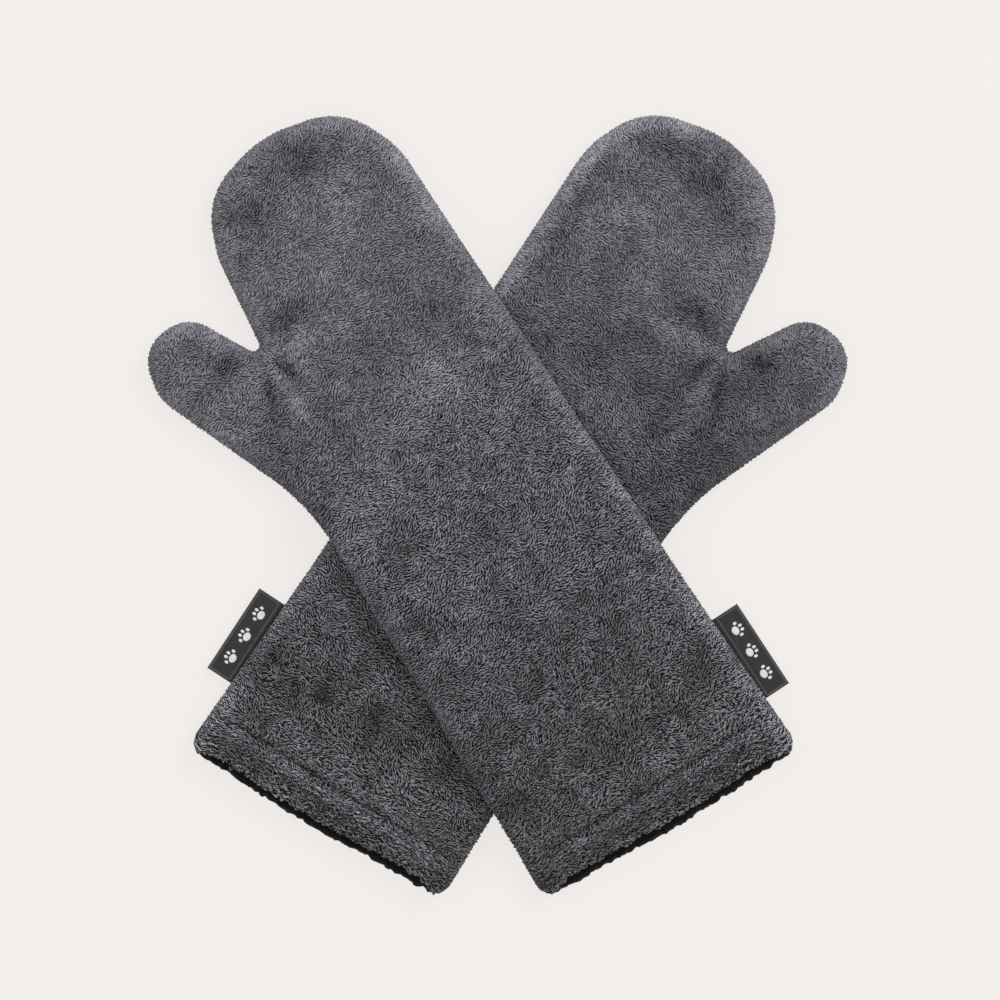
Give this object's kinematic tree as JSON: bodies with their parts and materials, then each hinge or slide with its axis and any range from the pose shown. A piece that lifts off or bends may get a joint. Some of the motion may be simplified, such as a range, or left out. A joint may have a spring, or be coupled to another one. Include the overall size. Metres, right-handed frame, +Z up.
{
  "type": "grooming glove",
  "caption": "Pair of long plush grooming mitts with a thumb, an open lined sleeve, a turned hem and a side label, lying crossed.",
  "frame": {"origin": "on the surface that the pair lies on, under the middle of its box", "axes": "+Y towards the fingertips, along the pair's longest side; +X to the right seen from above; +Z up, through the pair's thickness"},
  "size_m": [0.434, 0.4874, 0.0365],
  "materials": {
    "plush": "short dark grey pile",
    "lining": "near-black fleece",
    "thread": "dark grey sewing thread",
    "label_cloth": "woven ribbon",
    "label_edge": "woven edge",
    "label_thread": "white woven thread"
  },
  "bodies": {
    "lower_sleeve": {"lower_sleeve_top_panel": "plush", "lower_sleeve_bottom_panel": "plush", "lower_sleeve_top_lining": "lining", "lower_sleeve_bottom_lining": "lining", "lower_outer_side_seam": "plush", "lower_thumb_side_seam": "plush", "lower_crotch_seam": "plush", "lower_hem_top": "lining", "lower_hem_bottom": "lining", "lower_hem_stitch": "thread"},
    "lower_fingers": {"lower_finger_top_panel": "plush", "lower_finger_bottom_panel": "plush", "lower_finger_top_lining": "lining", "lower_finger_bottom_lining": "lining", "lower_finger_seam": "plush"},
    "lower_thumb": {"lower_thumb_top_panel": "plush", "lower_thumb_bottom_panel": "plush", "lower_thumb_top_lining": "lining", "lower_thumb_bottom_lining": "lining", "lower_thumb_seam": "plush"},
    "lower_label_flag": {"lower_label": "label_cloth", "lower_label_border": "label_edge", "lower_label_mark": "label_thread"},
    "upper_sleeve": {"upper_sleeve_top_panel": "plush", "upper_sleeve_bottom_panel": "plush", "upper_sleeve_top_lining": "lining", "upper_sleeve_bottom_lining": "lining", "upper_outer_side_seam": "plush", "upper_thumb_side_seam": "plush", "upper_crotch_seam": "plush", "upper_hem_top": "lining", "upper_hem_bottom": "lining", "upper_hem_stitch": "thread"},
    "upper_fingers": {"upper_finger_top_panel": "plush", "upper_finger_bottom_panel": "plush", "upper_finger_top_lining": "lining", "upper_finger_bottom_lining": "lining", "upper_finger_seam": "plush"},
    "upper_thumb": {"upper_thumb_top_panel": "plush", "upper_thumb_bottom_panel": "plush", "upper_thumb_top_lining": "lining", "upper_thumb_bottom_lining": "lining", "upper_thumb_seam": "plush"},
    "upper_label_flag": {"upper_label": "label_cloth", "upper_label_border": "label_edge", "upper_label_mark": "label_thread"}
  },
  "joints": [
    {"name": "upper_mitt_lift", "type": "slide", "parent": "lower_sleeve", "child": "upper_sleeve", "axis": [0, 0, 1], "range_m": [0, 0.15]},
    {"name": "lower_finger_fold", "type": "hinge", "parent": "lower_sleeve", "child": "lower_fingers", "pos_m": [0.0823, 0.14471, 0.018], "axis": [0.8358, -0.549, 0], "range_deg": [0, 90]},
    {"name": "lower_thumb_fold", "type": "hinge", "parent": "lower_sleeve", "child": "lower_thumb", "pos_m": [0.13357, 0.04881, 0.018], "axis": [-0.3174, -0.9483, 0], "range_deg": [0, 90]},
    {"name": "lower_label_flip", "type": "hinge", "parent": "lower_sleeve", "child": "lower_label_flag", "pos_m": [-0.15015, -0.08367, 0.0066], "axis": [0.549, 0.8358, 0], "range_deg": [0, 90]},
    {"name": "upper_finger_fold", "type": "hinge", "parent": "upper_sleeve", "child": "upper_fingers", "pos_m": [-0.08758, 0.14433, 0.018], "axis": [0.8358, 0.549, 0], "range_deg": [0, 90]},
    {"name": "upper_thumb_fold", "type": "hinge", "parent": "upper_sleeve", "child": "upper_thumb", "pos_m": [-0.13885, 0.04843, 0.018], "axis": [-0.3174, 0.9483, 0], "range_deg": [0, 90]},
    {"name": "upper_label_flip", "type": "hinge", "parent": "upper_sleeve", "child": "upper_label_flag", "pos_m": [0.15091, -0.09325, 0.0066], "axis": [0.549, -0.8358, 0], "range_deg": [0, 90]}
  ]
}
